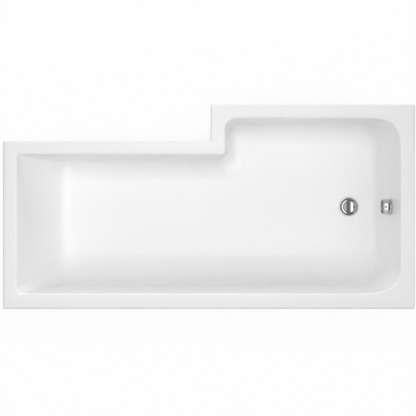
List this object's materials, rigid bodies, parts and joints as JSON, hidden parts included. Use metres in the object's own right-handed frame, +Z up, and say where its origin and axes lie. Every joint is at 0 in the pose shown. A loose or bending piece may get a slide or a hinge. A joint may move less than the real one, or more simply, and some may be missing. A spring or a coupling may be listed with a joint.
{
  "type": "l shaped shower bath",
  "caption": "White moulded shower bath, L-shaped in plan, with a sloping backrest, a pop-up waste worked by an overflow knob, and adjustable legs under a turned-down rim.",
  "frame": {"origin": "centre of the bath's outline at ground level", "axes": "+X along the bath from the backrest to the waste end, +Y from the wall side to the room side, +Z up"},
  "size_m": [1.7, 0.844, 0.545],
  "materials": {
    "acrylic": "glossy white cast acrylic",
    "glass_fibre": "rough chopped-strand glass fibre in resin",
    "board": "chipboard",
    "timber": "sawn softwood",
    "leg_steel": "galvanised pressed steel",
    "zinc_plate": "bright zinc plated steel",
    "foot_plastic": "moulded black plastic",
    "chrome": "polished chrome plate",
    "seal_rubber": "black rubber",
    "waste_plastic": "moulded white-grey plastic",
    "pipe_plastic": "smooth white plastic pipe"
  },
  "bodies": {
    "root": {"bath_shell": "acrylic", "glass_fibre_backing": "glass_fibre", "baseboard": "board", "rim_batten_wall": "timber", "rim_batten_foot": "timber", "rim_batten_shower": "timber", "rim_batten_step": "timber", "rim_batten_narrow": "timber", "rim_batten_head": "timber", "wall_bracket_head": "leg_steel", "wall_bracket_foot": "leg_steel", "bracket_screws": "zinc_plate", "leg_bar_head": "leg_steel", "leg_bar_middle": "leg_steel", "leg_bar_foot": "leg_steel", "leg_screws": "zinc_plate", "foot_nuts": "zinc_plate", "waste_flange": "chrome", "flange_seal": "seal_rubber", "waste_seal": "seal_rubber", "waste_body": "waste_plastic", "overflow_plate": "chrome", "plate_screws": "zinc_plate", "overflow_seal_front": "seal_rubber", "overflow_seal_back": "seal_rubber", "overflow_elbow": "waste_plastic", "overflow_pipe": "pipe_plastic", "pipe_nut_top": "waste_plastic", "pipe_nut_bottom": "waste_plastic"},
    "knob": {"overflow_knob": "chrome", "knob_spindle": "zinc_plate", "knob_grub_screw": "zinc_plate", "pull_crank": "foot_plastic"},
    "plug": {"plug_cap": "chrome", "plug_seal": "seal_rubber", "plug_stem": "zinc_plate"},
    "lever": {"lift_lever": "foot_plastic"},
    "foot_1": {"foot_rod_1": "zinc_plate", "foot_pad_1": "foot_plastic"},
    "foot_2": {"foot_rod_2": "zinc_plate", "foot_pad_2": "foot_plastic"},
    "foot_3": {"foot_rod_3": "zinc_plate", "foot_pad_3": "foot_plastic"},
    "foot_4": {"foot_rod_4": "zinc_plate", "foot_pad_4": "foot_plastic"},
    "foot_5": {"foot_rod_5": "zinc_plate", "foot_pad_5": "foot_plastic"},
    "foot_6": {"foot_rod_6": "zinc_plate", "foot_pad_6": "foot_plastic"}
  },
  "joints": [
    {"name": "knob_turn", "type": "hinge", "parent": "root", "child": "knob", "pos_m": [0.75841, 0, 0.375], "axis": [0.9799, 0, -0.1994], "range_deg": [0, 90]},
    {"name": "plug_lift", "type": "slide", "parent": "root", "child": "plug", "axis": [0, 0, 1], "range_m": [0, 0.01]},
    {"name": "lever_tilt", "type": "hinge", "parent": "root", "child": "lever", "pos_m": [0.618, 0, 0.0975], "axis": [0, 1, 0], "range_deg": [0, 28.95]},
    {"name": "foot_1_height", "type": "slide", "parent": "root", "child": "foot_1", "axis": [0, 0, 1], "range_m": [-0.02, 0.02]},
    {"name": "foot_2_height", "type": "slide", "parent": "root", "child": "foot_2", "axis": [0, 0, 1], "range_m": [-0.02, 0.02]},
    {"name": "foot_3_height", "type": "slide", "parent": "root", "child": "foot_3", "axis": [0, 0, 1], "range_m": [-0.02, 0.02]},
    {"name": "foot_4_height", "type": "slide", "parent": "root", "child": "foot_4", "axis": [0, 0, 1], "range_m": [-0.02, 0.02]},
    {"name": "foot_5_height", "type": "slide", "parent": "root", "child": "foot_5", "axis": [0, 0, 1], "range_m": [-0.02, 0.02]},
    {"name": "foot_6_height", "type": "slide", "parent": "root", "child": "foot_6", "axis": [0, 0, 1], "range_m": [-0.02, 0.02]}
  ],
  "couplings": [
    {"joint": "plug_lift", "follows": "knob_turn", "m_per_rad": 0.006366},
    {"joint": "lever_tilt", "follows": "knob_turn", "ratio": 0.3217}
  ]
}
